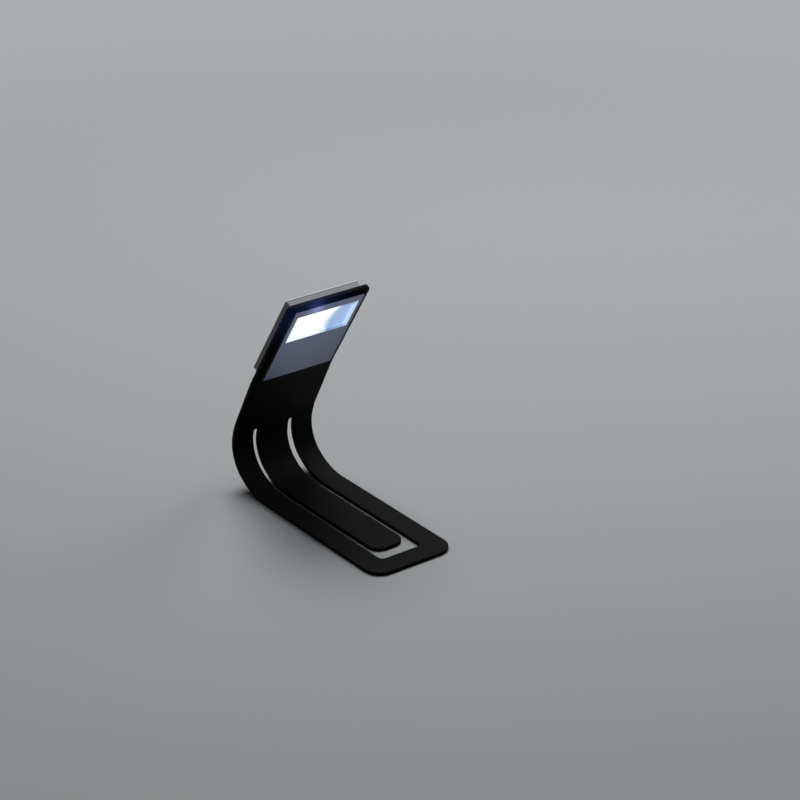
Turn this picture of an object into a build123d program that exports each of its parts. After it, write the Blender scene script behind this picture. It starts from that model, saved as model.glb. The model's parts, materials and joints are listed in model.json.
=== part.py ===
from build123d import *
from math import cos, sin, tan, sqrt, radians
import os

os.makedirs("parts", exist_ok=True)

# Leaf: one flexible strip whose lower end is cut into a clip
leaf_width = 37.0
leaf_thick = 1.5
leaf_corner = 2.5
foot_corner = 7.0
floor_run = 72.0
neck_run = 19.8
head_margin = 0.6

# Bends of the leaf from the floor up: radius at mid thickness and angle
foot_radius = 25.1
foot_angle = 38.8
heel_radius = 14.4
heel_angle = 65.0
calf_radius = 35.1
calf_angle = 14.6
nape_radius = 72.0
nape_angle = 4.6

# Clip: a tongue between two legs, free at its lower end
tongue_width = 14.2
slot_width = 2.2
slot_end_radius = 0.6
slot_top_angle = 106.2
foot_bar = 9.0
tongue_gap = 6.4
tongue_end_radius = 5.0
foot_inner_radius = 2.0
tongue_slack = 1.2
bend_gap = 0.8
hinge_drop = 1.1

# Soft steel strips inside the legs
core_width = 4.0
core_thick = 0.5
core_play = 0.05
core_in_foot = 46.0
core_end_play = 1.0

# Head: front body and back housing clamp the leaf between them
body_width = 33.0
body_overhang = 0.3
body_top = 2.0
body_rise = 1.0
body_corner = 0.8
panel_margin = 0.2
panel_thick = 0.6
window_width = 27.8
window_height = 15.6
window_top = 3.0
window_play = 0.1
lens_flange = 0.8
lens_flange_thick = 0.4
lens_sink = 0.1
ledge_width = 1.0
reflector_play = 0.1
reflector_rim = 0.5
housing_inset = 0.2
housing_top = 2.3
housing_depth = 4.0
housing_wall = 1.1
housing_back = 1.0
housing_corner = 0.7
housing_edge = 0.35

# Circuit board, lamp, resistor and switch
board_height = 15.6
board_thick = 0.8
board_gap = 0.5
board_play = 0.6
board_side_play = 1.2
post_size = 2.0
post_inset = 1.5
lamp_size = 5.0
lamp_height = 1.5
lamp_dish_radius = 2.0
lamp_dish_depth = 0.4
lamp_dish_angle = 30
lamp_play = 0.2
resistor_length = 3.2
resistor_width = 1.6
resistor_height = 0.55
resistor_x = -9.5
case_length = 8.6
case_width = 3.7
case_height = 1.5
lever_size = 1.4
lever_sink = 0.9
lever_play = 0.15
knob_length = 7.0
knob_width = 4.2
knob_corner = 0.6
knob_stand = 0.5
knob_socket = 0.35
knob_ribs = 4
knob_rib_pitch = 1.3
knob_recess = 0.5
knob_play = 0.2
knob_gap = 0.15
switch_travel = 2.0

# Cells, contacts and battery cover
cell_radius = 10.0
cell_thick = 1.6
cell_cap_radius = 8.7
cell_cap_step = 0.2
cell_play = 0.3
cell_back_play = 0.15
pocket_wall = 1.0
pocket_floor = 0.3
spring_thick = 0.2
spring_width = 4.0
spring_reach = 14.0
spring_x = 5.0
spring_foot = 1.5
spring_bend = 0.3
rim_width = 4.0
contact_play = 0.05
leaf_hole_play = 0.5
cover_width = 22.0
cover_lap = 0.5
cover_play = 0.15
rail_width = 0.7
rail_thick = 0.4
cover_ridges = 5
ridge_pitch = 1.5
ridge_depth = 0.25
ridge_length = 12.0
ridge_rise = 6.0

# Screws and the bosses that take them
boss_radius = 1.4
boss_play = 0.1
boss_reach = 0.8
thread_play = 0.05
screw_radius = 0.7
screw_head_radius = 1.3
screw_head_height = 0.8
screw_play = 0.15
screw_sink = 0.3
upper_screw_inset = 2.4
upper_screw_drop = 2.1
lower_screw_x = 8.0
screw_wall = 0.5
screw_depth = 0.5
screw_tip_play = 0.2
cross_width = 0.3
cross_depth = 0.3


class Ribbon:
    """A curve in the side plane: straight runs and arcs, as (length, turn in degrees)."""

    def __init__(self, start, runs):
        self.start = start
        self.runs = runs

    def at(self, s):
        y, z = self.start
        turn = 0.0
        for length, bend in self.runs:
            step = min(s, length)
            if bend:
                radius = length / radians(bend)
                swept = bend * step / length
                y += radius * (sin(radians(turn + swept)) - sin(radians(turn)))
                z += radius * (cos(radians(turn)) - cos(radians(turn + swept)))
                turn += swept
            else:
                y += step * cos(radians(turn))
                z += step * sin(radians(turn))
            s -= step
            if s <= 0:
                break
        return y, z, turn

    def side(self, s, height):
        y, z, turn = self.at(s)
        return (y - height * sin(radians(turn)), z + height * cos(radians(turn)))

    def where(self, turn):
        walked = turned = 0.0
        for length, bend in self.runs:
            if bend and turned + bend >= turn:
                return walked + length * (turn - turned) / bend
            walked += length
            turned += bend
        return walked

    def joints(self, first, last):
        marks = [0.0]
        for length, bend in self.runs:
            marks.append(marks[-1] + length)
        return [first] + [m for m in marks if first + 0.001 < m < last - 0.001] + [last]

    def outline(self, first, last, low, high):
        marks = self.joints(first, last)
        for a, b in zip(marks, marks[1:]):
            self.edge(a, b, high)
        Line(self.side(last, high), self.side(last, low))
        for a, b in zip(marks, marks[1:]):
            self.edge(a, b, low)
        Line(self.side(first, low), self.side(first, high))

    def edge(self, a, b, height):
        if self.at(b)[2] - self.at(a)[2] > 0.001:
            ThreePointArc(self.side(a, height), self.side((a + b) / 2, height), self.side(b, height))
        else:
            Line(self.side(a, height), self.side(b, height))

    def plane(self, s, height=0.0):
        y, z = self.side(s, height)
        turn = radians(self.at(s)[2])
        return Plane(origin=(0, y, z), x_dir=(1, 0, 0), z_dir=(0, -sin(turn), cos(turn)))


def arc_run(radius, turn):
    return (radius * radians(turn), turn)


# Widths in the head, from the front body inwards
housing_width = body_width - 2 * housing_inset
cavity_width = housing_width - 2 * housing_wall
board_width = cavity_width - 2 * board_side_play

# Heights in the head, measured down from the leaf's top edge: lamp, board, cells, screws
window_middle = body_top + panel_margin + window_top + window_height / 2
flange_width = window_width + 2 * lens_flange
flange_height = window_height + 2 * lens_flange
opening_width = flange_width - 2 * ledge_width
opening_height = flange_height - 2 * ledge_width
reflector_width = opening_width - 2 * reflector_play
reflector_height = opening_height - 2 * reflector_play
board_middle = window_middle
board_bottom = board_middle + board_height / 2
cavity_bottom = board_bottom + board_play
pocket_radius = cell_radius + cell_play
cell_middle = cavity_bottom + pocket_wall + pocket_radius
upper_screw_x = housing_width / 2 - upper_screw_inset
upper_screw_down = cavity_bottom + upper_screw_drop
boss_hole = boss_radius + boss_play
screw_distance = pocket_radius + screw_wall + boss_hole
lower_screw_down = cell_middle + sqrt(screw_distance ** 2 - lower_screw_x ** 2)
screw_places = [
    (-upper_screw_x, -upper_screw_down),
    (upper_screw_x, -upper_screw_down),
    (-lower_screw_x, -lower_screw_down),
    (lower_screw_x, -lower_screw_down),
]
housing_bottom = lower_screw_down + boss_hole + screw_wall
housing_height = housing_bottom - housing_top
housing_middle = (housing_top + housing_bottom) / 2
body_bottom = housing_bottom + body_overhang
body_height = body_bottom - body_top
body_middle = (body_top + body_bottom) / 2
panel_width = body_width - 2 * panel_margin
panel_height = body_height - 2 * panel_margin
panel_corner = body_corner - panel_margin
cover_top = cell_middle - pocket_radius - cover_lap
cover_height = housing_bottom - cover_top
head_run = body_bottom + head_margin

half_thick = leaf_thick / 2
half_width = leaf_width / 2
lean = foot_angle + heel_angle + calf_angle + nape_angle
neck_turn = lean - nape_angle

# The leaf's own line, from the free edge of the foot to the top of the head
leaf_start = (-foot_bar / 2, half_thick)
leaf = Ribbon(leaf_start, [
    (floor_run, 0),
    arc_run(foot_radius, foot_angle),
    arc_run(heel_radius, heel_angle),
    arc_run(calf_radius, calf_angle),
    (neck_run, 0),
    arc_run(nape_radius, nape_angle),
    (head_run, 0),
])
leaf_length = sum(length for length, bend in leaf.runs)

# The tongue's line bulges a little outside the legs and lies on the floor with them
slot_top = leaf.where(slot_top_angle)
ease = tongue_slack * tan(radians(slot_top_angle / 2))
calf_part = slot_top_angle - foot_angle - heel_angle
tongue_tip = foot_bar / 2 + tongue_gap
tongue_floor = leaf_start[0] + floor_run + ease - tongue_tip
tongue = Ribbon((tongue_tip, half_thick), [
    (tongue_floor, 0),
    arc_run(foot_radius - tongue_slack, foot_angle),
    arc_run(heel_radius - tongue_slack, heel_angle),
    arc_run(calf_radius - tongue_slack, calf_part),
    (ease, 0),
])
tongue_length = sum(length for length, bend in tongue.runs)

# Where the leaf bends most: halfway up the slots, at the neck and at the nape
hinge_turn = slot_top_angle / 2
leg_station = leaf.where(hinge_turn)
tongue_station = tongue.where(hinge_turn)
neck_station = leaf.where((slot_top_angle + neck_turn) / 2)
nape_station = leaf.where(neck_turn + nape_angle / 2)
root_station = tongue_length - hinge_drop
leg_inner = tongue_width / 2 + slot_width
leg_width = half_width - leg_inner
leg_middle = leg_inner + leg_width / 2
half_gap = bend_gap / 2
core_half = core_thick / 2
channel_half = core_half + core_play
channel_width = core_width + 2 * core_play


def hollow_for_core(line, first, last):
    """A flat channel through the leaf for each steel strip."""
    for x in (-leg_middle, leg_middle):
        with BuildSketch(Plane.YZ.offset(x)) as channel:
            with BuildLine():
                line.outline(first, last, -channel_half, channel_half)
            make_face()
        extrude(channel.sketch, amount=channel_width / 2, both=True, mode=Mode.SUBTRACT)


def core_strips(line, first, last):
    for x in (-leg_middle, leg_middle):
        with BuildSketch(Plane.YZ.offset(x)) as strip:
            with BuildLine():
                line.outline(first, last, -core_half, core_half)
            make_face()
        extrude(strip.sketch, amount=core_width / 2, both=True)


# Clip frame: two legs and the bar that joins them, flat on the floor
frame_end = leg_station - half_gap
with BuildPart() as clip_frame:
    with BuildSketch(Plane.YZ):
        with BuildLine():
            leaf.outline(0, frame_end, -half_thick, half_thick)
        make_face()
    extrude(amount=half_width, both=True)
    fillet(clip_frame.edges().filter_by(Axis.Z).group_by(Axis.Y)[0], foot_corner)
    with BuildSketch(Plane.XY) as clip_opening:
        with Locations((0, foot_bar / 2)):
            Rectangle(2 * leg_inner, floor_run + foot_radius, align=(Align.CENTER, Align.MIN))
        fillet(clip_opening.vertices().group_by(Axis.Y)[0], foot_inner_radius)
    extrude(amount=foot_radius, mode=Mode.SUBTRACT)
    hollow_for_core(leaf, floor_run - core_in_foot, frame_end)
clip_frame.part.label = "clip_frame"
export_step(clip_frame.part, "parts/clip_frame.step")

with BuildPart() as frame_core:
    core_strips(leaf, floor_run - core_in_foot + core_play, frame_end)
frame_core.part.label = "frame_core"
export_step(frame_core.part, "parts/frame_core.step")

# Yoke: the full width of the leaf splits here into two legs and the tongue's root
yoke_first = leg_station + half_gap
yoke_last = neck_station - half_gap
with BuildPart() as yoke_leaf:
    with BuildSketch(Plane.YZ):
        with BuildLine():
            leaf.outline(yoke_first, yoke_last, -half_thick, half_thick)
        make_face()
    extrude(amount=half_width, both=True)
    with BuildSketch(leaf.plane(slot_top)) as yoke_slots:
        slot_middle = leg_inner - slot_width / 2
        with Locations((-slot_middle, 0), (slot_middle, 0)):
            Rectangle(slot_width, heel_radius, align=(Align.CENTER, Align.MAX))
        fillet(yoke_slots.vertices().group_by(Axis.Y)[-1], slot_end_radius)
        with Locations((0, half_gap - hinge_drop)):
            Rectangle(2 * leg_inner, heel_radius, align=(Align.CENTER, Align.MAX))
    extrude(amount=heel_radius, both=True, mode=Mode.SUBTRACT)
    hollow_for_core(leaf, yoke_first, yoke_last)
yoke_leaf.part.label = "yoke_leaf"
export_step(yoke_leaf.part, "parts/yoke_leaf.step")

with BuildPart() as yoke_core:
    core_strips(leaf, yoke_first, yoke_last)
yoke_core.part.label = "yoke_core"
export_step(yoke_core.part, "parts/yoke_core.step")

# Tongue: a root below the slots' tops and a blade that lies flat with the foot
with BuildPart() as tongue_root:
    with BuildSketch(Plane.YZ):
        with BuildLine():
            tongue.outline(tongue_station + half_gap, root_station - half_gap, -half_thick, half_thick)
        make_face()
    extrude(amount=tongue_width / 2, both=True)
tongue_root.part.label = "tongue_root"
export_step(tongue_root.part, "parts/tongue_root.step")

with BuildPart() as tongue_blade:
    with BuildSketch(Plane.YZ):
        with BuildLine():
            tongue.outline(0, tongue_station - half_gap, -half_thick, half_thick)
        make_face()
    extrude(amount=tongue_width / 2, both=True)
    fillet(tongue_blade.edges().filter_by(Axis.Z).group_by(Axis.Y)[0], tongue_end_radius)
tongue_blade.part.label = "tongue_blade"
export_step(tongue_blade.part, "parts/tongue_blade.step")

# Neck: full width, straight, up to the slight bend below the head
neck_first = neck_station + half_gap
neck_last = nape_station - half_gap
with BuildPart() as neck_leaf:
    with BuildSketch(Plane.YZ):
        with BuildLine():
            leaf.outline(neck_first, neck_last, -half_thick, half_thick)
        make_face()
    extrude(amount=half_width, both=True)
    hollow_for_core(leaf, neck_first, neck_last)
neck_leaf.part.label = "neck_leaf"
export_step(neck_leaf.part, "parts/neck_leaf.step")

with BuildPart() as neck_core:
    core_strips(leaf, neck_first, neck_last)
neck_core.part.label = "neck_core"
export_step(neck_core.part, "parts/neck_core.step")


def layer(depth):
    """Sketch plane of the head: x across, y up from the leaf's top edge, depth from its front face."""
    return leaf.plane(leaf_length, half_thick + depth)


def head_side(x):
    """Side plane of the head: x down from the leaf's top edge, y the depth in front of the leaf."""
    base = layer(0)
    return Plane(origin=base.origin + Vector(x, 0, 0), x_dir=-base.y_dir, z_dir=(-1, 0, 0))


def head_end():
    """End plane of the head: x across, y the depth in front of the leaf, looking down from its top edge."""
    base = layer(0)
    return Plane(origin=base.origin, x_dir=(1, 0, 0), z_dir=-base.y_dir)


# Depths in the head: positive in front of the leaf's front face, negative behind it
leaf_back = -leaf_thick
panel_front = body_rise + panel_thick
lens_front = panel_front - lens_sink
lens_back = body_rise - lens_flange_thick
housing_face = leaf_back - housing_depth
cover_inner = housing_face + housing_back
rail_front = cover_inner - cover_play
board_front = leaf_back - board_gap
board_rear = board_front - board_thick
case_rear = board_rear - case_height
knob_floor = housing_face + knob_recess
knob_face = housing_face - knob_stand
cell_rear = cover_inner + cell_back_play
cell_seam = cell_rear + cell_thick
cell_front_face = cell_seam + cell_thick
screw_face = cover_inner + screw_sink
screw_seat = screw_face + screw_head_height
boss_end = leaf_back - boss_reach

# Head of the leaf: holes for the reflector, the cells, the contacts and the bosses
head_first = nape_station + half_gap
core_last = leaf_length - (upper_screw_down + boss_hole + core_end_play)
with BuildPart() as head_leaf:
    with BuildSketch(Plane.YZ):
        with BuildLine():
            leaf.outline(head_first, leaf_length, -half_thick, half_thick)
        make_face()
    extrude(amount=half_width, both=True)
    head_axis = Axis((0, 0, 0), leaf.plane(leaf_length).z_dir)
    rise_axis = Axis((0, 0, 0), leaf.plane(leaf_length).y_dir)
    fillet(head_leaf.edges().filter_by(head_axis).group_by(rise_axis)[-1], leaf_corner)
    hollow_for_core(leaf, head_first, core_last)
    with BuildSketch(layer(0)):
        with Locations((0, -window_middle)):
            Rectangle(opening_width + 2 * leaf_hole_play, opening_height + 2 * leaf_hole_play)
        with Locations((0, -cell_middle)):
            Circle(pocket_radius + reflector_play)
        with Locations((spring_x, -board_bottom)):
            Rectangle(spring_width + 2 * leaf_hole_play, cell_radius / 2, align=(Align.CENTER, Align.MAX))
        with Locations(screw_places):
            Circle(boss_hole)
    extrude(amount=-leaf_thick, mode=Mode.SUBTRACT)
head_leaf.part.label = "head_leaf"
export_step(head_leaf.part, "parts/head_leaf.step")

with BuildPart() as head_core:
    core_strips(leaf, head_first, core_last - core_play)
head_core.part.label = "head_core"
export_step(head_core.part, "parts/head_core.step")

# Front body: raised frame with the lens ledge, the cell pocket and the bosses for the screws
with BuildPart() as front_body:
    with BuildSketch(layer(0)):
        with Locations((0, -body_middle)):
            RectangleRounded(body_width, body_height, body_corner)
    extrude(amount=body_rise)
    with BuildSketch(layer(lens_back)):
        with Locations((0, -window_middle)):
            Rectangle(flange_width + 2 * window_play, flange_height + 2 * window_play)
    extrude(amount=lens_flange_thick, mode=Mode.SUBTRACT)
    with BuildSketch(layer(0)):
        with Locations((0, -window_middle)):
            Rectangle(opening_width, opening_height)
    extrude(amount=lens_back, mode=Mode.SUBTRACT)
    with BuildSketch(layer(0)):
        with Locations((0, -cell_middle)):
            Circle(pocket_radius)
        with Locations((spring_x, -board_bottom)):
            Rectangle(spring_width + 2 * leaf_hole_play, cell_radius / 2, align=(Align.CENTER, Align.MAX))
    extrude(amount=pocket_floor, mode=Mode.SUBTRACT)
    with BuildSketch(layer(0)):
        with Locations(screw_places):
            Circle(boss_radius)
    extrude(amount=boss_end)
    with BuildSketch(layer(boss_end)):
        with Locations(screw_places):
            Circle(screw_radius + thread_play)
    extrude(amount=screw_depth - boss_end, mode=Mode.SUBTRACT)
front_body.part.label = "front_body"
export_step(front_body.part, "parts/front_body.step")

# Front panel: a thin satin plate with the window cut out
with BuildPart() as front_panel:
    with BuildSketch(layer(body_rise)):
        with Locations((0, -body_middle)):
            RectangleRounded(panel_width, panel_height, panel_corner)
        with Locations((0, -window_middle)):
            Rectangle(window_width, window_height, mode=Mode.SUBTRACT)
    extrude(amount=panel_thick)
front_panel.part.label = "front_panel"
export_step(front_panel.part, "parts/front_panel.step")

# Lens: a clear plate in the window, held by its flange under the panel
with BuildPart() as window_lens:
    with BuildSketch(layer(lens_back)):
        with Locations((0, -window_middle)):
            Rectangle(flange_width, flange_height)
    extrude(amount=lens_flange_thick)
    with BuildSketch(layer(body_rise)):
        with Locations((0, -window_middle)):
            Rectangle(window_width - 2 * window_play, window_height - 2 * window_play)
    extrude(amount=lens_front - body_rise)
window_lens.part.label = "window_lens"
export_step(window_lens.part, "parts/window_lens.step")

# Reflector: a bright block with a funnel from the lamp to the window
reflector_front = lens_back - reflector_play
lamp_half = lamp_size / 2 + lamp_play
mouth_x = reflector_width / 2 - reflector_rim
mouth_y = reflector_height / 2 - reflector_rim
with BuildPart() as funnel:
    with BuildSketch(head_side(0)):
        with BuildLine():
            Polyline(
                (window_middle - lamp_half, board_front),
                (window_middle + lamp_half, board_front),
                (window_middle + mouth_y, reflector_front),
                (window_middle - mouth_y, reflector_front),
                close=True,
            )
        make_face()
    extrude(amount=mouth_x, both=True)
    with BuildSketch(head_end()):
        with BuildLine():
            Polyline(
                (-lamp_half, board_front),
                (lamp_half, board_front),
                (mouth_x, reflector_front),
                (-mouth_x, reflector_front),
                close=True,
            )
        make_face()
    extrude(amount=2 * window_middle, mode=Mode.INTERSECT)

with BuildPart() as reflector:
    with BuildSketch(layer(board_front)):
        with Locations((0, -window_middle)):
            Rectangle(reflector_width, reflector_height)
    extrude(amount=reflector_front - board_front)
    add(funnel.part, mode=Mode.SUBTRACT)
reflector.part.label = "reflector"
export_step(reflector.part, "parts/reflector.step")

# Lamp: a square package with a shallow dish
with BuildPart() as led:
    with BuildSketch(layer(board_front)):
        with Locations((0, -window_middle)):
            Rectangle(lamp_size, lamp_size)
    extrude(amount=lamp_height)
    with BuildSketch(layer(board_front + lamp_height)):
        with Locations((0, -window_middle)):
            Circle(lamp_dish_radius)
    extrude(amount=-lamp_dish_depth, taper=lamp_dish_angle, mode=Mode.SUBTRACT)
led.part.label = "led"
export_step(led.part, "parts/led.step")

with BuildPart() as circuit_board:
    with BuildSketch(layer(board_rear)):
        with Locations((0, -board_middle)):
            Rectangle(board_width, board_height)
    extrude(amount=board_thick)
circuit_board.part.label = "circuit_board"
export_step(circuit_board.part, "parts/circuit_board.step")

with BuildPart() as resistor:
    with BuildSketch(layer(board_rear)):
        with Locations((resistor_x, -board_middle)):
            Rectangle(resistor_width, resistor_length)
    extrude(amount=-resistor_height)
resistor.part.label = "resistor"
export_step(resistor.part, "parts/resistor.step")

# Switch: a case on the board, a lever in its slot and a knob on the housing's back
slot_length = lever_size + switch_travel + 2 * lever_play
lever_rest = switch_travel / 2
lever_start = case_rear + lever_sink
knob_inner = knob_floor - knob_gap
with BuildPart() as switch_case:
    with BuildSketch(layer(board_rear)):
        with Locations((0, -board_middle)):
            Rectangle(case_length, case_width)
    extrude(amount=-case_height)
    with BuildSketch(layer(case_rear)):
        with Locations((0, -board_middle)):
            Rectangle(slot_length, lever_size + 2 * lever_play)
    extrude(amount=lever_sink + lever_play, mode=Mode.SUBTRACT)
switch_case.part.label = "switch_case"
export_step(switch_case.part, "parts/switch_case.step")

with BuildPart() as switch_lever:
    with BuildSketch(layer(lever_start)):
        with Locations((lever_rest, -board_middle)):
            Rectangle(lever_size, lever_size)
    extrude(amount=knob_inner - knob_socket - lever_start)
switch_lever.part.label = "switch_lever"
export_step(switch_lever.part, "parts/switch_lever.step")

with BuildPart() as switch_knob:
    with BuildSketch(layer(knob_face)):
        with Locations((lever_rest, -board_middle)):
            RectangleRounded(knob_length, knob_width, knob_corner)
    extrude(amount=knob_inner - knob_face)
    with BuildSketch(layer(knob_face)):
        with Locations((lever_rest, -board_middle)):
            with GridLocations(knob_rib_pitch, 0, knob_ribs, 1):
                Rectangle(knob_rib_pitch / 2, knob_width - 2 * knob_corner)
    extrude(amount=ridge_depth, mode=Mode.SUBTRACT)
    with BuildSketch(layer(knob_inner)):
        with Locations((lever_rest, -board_middle)):
            Rectangle(lever_size + 2 * thread_play, lever_size + 2 * thread_play)
    extrude(amount=-knob_socket - thread_play, mode=Mode.SUBTRACT)
switch_knob.part.label = "switch_knob"
export_step(switch_knob.part, "parts/switch_knob.step")

# Back housing: a shell over the board and a block with the cell pocket
with BuildPart() as back_housing:
    with BuildSketch(layer(leaf_back)):
        with Locations((0, -housing_middle)):
            RectangleRounded(housing_width, housing_height, housing_corner)
    extrude(amount=-housing_depth)
    chamfer(back_housing.faces().sort_by(head_axis)[0].edges(), housing_edge)
    cavity_top = housing_top + housing_wall
    with BuildSketch(layer(leaf_back)):
        with Locations((0, -cavity_top)):
            Rectangle(cavity_width, cavity_bottom - cavity_top,
                      align=(Align.CENTER, Align.MAX))
        with Locations((0, -cell_middle)):
            Circle(pocket_radius)
        with Locations((0, -cavity_bottom)):
            Rectangle(rim_width + 2 * leaf_hole_play, pocket_radius, align=(Align.CENTER, Align.MAX))
    extrude(amount=cover_inner - leaf_back, mode=Mode.SUBTRACT)
    with BuildSketch(layer(cover_inner)):
        post_x = board_width / 2 - post_inset
        post_y = board_height / 2 - post_inset
        with Locations((0, -board_middle)):
            with GridLocations(2 * post_x, 2 * post_y, 2, 2):
                Rectangle(post_size, post_size)
    extrude(amount=board_rear - cover_inner)
    with BuildSketch(layer(cover_inner)):
        with Locations((0, -(cover_top - cover_play))):
            Rectangle(cover_width + 2 * cover_play, housing_height, align=(Align.CENTER, Align.MAX))
    extrude(amount=-housing_back, mode=Mode.SUBTRACT)
    with BuildSketch(layer(rail_front + cover_play)):
        with Locations((0, -(cover_top - cover_play))):
            Rectangle(cover_width + 2 * rail_width + 2 * cover_play, housing_height,
                      align=(Align.CENTER, Align.MAX))
    extrude(amount=-rail_thick - 2 * cover_play, mode=Mode.SUBTRACT)
    with BuildSketch(layer(knob_floor)):
        with Locations((0, -board_middle)):
            RectangleRounded(knob_length + switch_travel + 2 * knob_play, knob_width + 2 * knob_play,
                             knob_corner)
    extrude(amount=-knob_recess, mode=Mode.SUBTRACT)
    with BuildSketch(layer(cover_inner)):
        with Locations((0, -board_middle)):
            Rectangle(slot_length, lever_size + 2 * lever_play)
    extrude(amount=-housing_back, mode=Mode.SUBTRACT)
    with BuildSketch(layer(leaf_back)):
        with Locations(screw_places):
            Circle(boss_hole)
    extrude(amount=-boss_reach - boss_play, mode=Mode.SUBTRACT)
    with BuildSketch(layer(leaf_back)):
        with Locations(screw_places):
            Circle(screw_radius + screw_play)
    extrude(amount=-housing_depth, mode=Mode.SUBTRACT)
    with BuildSketch(layer(screw_seat)):
        with Locations(screw_places):
            Circle(screw_head_radius + screw_play)
    extrude(amount=housing_face - screw_seat, mode=Mode.SUBTRACT)
back_housing.part.label = "back_housing"
export_step(back_housing.part, "parts/back_housing.step")

# Battery cover: slides down its rails towards the neck
with BuildPart() as battery_cover:
    with BuildSketch(layer(rail_front)):
        with Locations((0, -cover_top)):
            Rectangle(cover_width, cover_height, align=(Align.CENTER, Align.MAX))
    extrude(amount=housing_face - rail_front)
    end_face = battery_cover.faces().sort_by(rise_axis)[0]
    chamfer(end_face.edges().filter_by(Axis.X).sort_by(head_axis)[0], housing_edge)
    with BuildSketch(layer(rail_front)):
        with Locations((0, -cover_top)):
            Rectangle(cover_width + 2 * rail_width, cover_height, align=(Align.CENTER, Align.MAX))
    extrude(amount=-rail_thick)
    with BuildSketch(layer(housing_face)):
        with Locations((0, -(housing_bottom - ridge_rise))):
            with GridLocations(0, ridge_pitch, 1, cover_ridges):
                Rectangle(ridge_length, ridge_pitch / 2)
    extrude(amount=ridge_depth, mode=Mode.SUBTRACT)
battery_cover.part.label = "battery_cover"
export_step(battery_cover.part, "parts/battery_cover.step")

# Cells: two coin cells in a stack, each with its cap towards the front
for name, rear in (("battery_cell_back", cell_rear), ("battery_cell_front", cell_seam)):
    with BuildPart() as cell:
        with BuildSketch(layer(rear)):
            with Locations((0, -cell_middle)):
                Circle(cell_radius)
        extrude(amount=cell_thick - cell_cap_step)
        with BuildSketch(layer(rear + cell_thick - cell_cap_step)):
            with Locations((0, -cell_middle)):
                Circle(cell_cap_radius)
        extrude(amount=cell_cap_step)
    cell.part.label = name
    export_step(cell.part, f"parts/{name}.step")


# Spring contact: soldered to the board, round its lower edge and bowed under the front cell
spring_line = board_bottom + spring_bend
spring_low = pocket_floor - spring_thick / 2
spring_high = cell_front_face + spring_thick / 2 + contact_play
board_solder = board_rear - spring_thick / 2
with BuildPart() as contact_spring:
    with BuildSketch(head_side(spring_x)):
        bow_start = (cell_middle - spring_reach / 2, spring_low)
        bow_end = (cell_middle + spring_reach / 2, spring_low)
        with BuildLine():
            Polyline(
                (board_bottom - spring_foot, board_solder),
                (spring_line, board_solder),
                (spring_line, spring_low),
                bow_start,
            )
            ThreePointArc(bow_start, (cell_middle, spring_high), bow_end)
            offset(amount=spring_thick / 2, kind=Kind.INTERSECTION)
        make_face()
    extrude(amount=spring_width / 2, both=True)
contact_spring.part.label = "contact_spring"
export_step(contact_spring.part, "parts/contact_spring.step")

# Rim contact: from the board through the pocket wall to the rim of the back cell
rim_line = cell_middle - cell_radius - spring_thick / 2 - contact_play
with BuildPart() as contact_rim:
    with BuildSketch(head_side(0)):
        with BuildLine():
            Polyline(
                (board_bottom - spring_foot, board_solder),
                (rim_line, board_solder),
                (rim_line, cell_rear + cell_cap_step),
            )
            offset(amount=spring_thick / 2, kind=Kind.INTERSECTION)
        make_face()
    extrude(amount=rim_width / 2, both=True)
contact_rim.part.label = "contact_rim"
export_step(contact_rim.part, "parts/contact_rim.step")

# Screws: four alike, from the back through the housing into the front body's bosses
with BuildPart() as housing_screws:
    with BuildSketch(layer(screw_face)):
        with Locations(screw_places):
            Circle(screw_head_radius)
    extrude(amount=screw_head_height)
    with BuildSketch(layer(screw_seat)):
        with Locations(screw_places):
            Circle(screw_radius)
    extrude(amount=screw_depth - screw_tip_play - screw_seat)
    with BuildSketch(layer(screw_face)):
        with Locations(screw_places):
            Rectangle(2 * screw_radius, cross_width)
            Rectangle(cross_width, 2 * screw_radius)
    extrude(amount=cross_depth, mode=Mode.SUBTRACT)
housing_screws.part.label = "housing_screws"
export_step(housing_screws.part, "parts/housing_screws.step")

print("leaf length", round(leaf_length, 1), "lean", round(lean, 1))
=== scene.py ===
import bpy
import bmesh
import json
from math import sin, cos, tan, pi, radians, sqrt
from mathutils import Matrix, Vector

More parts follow.
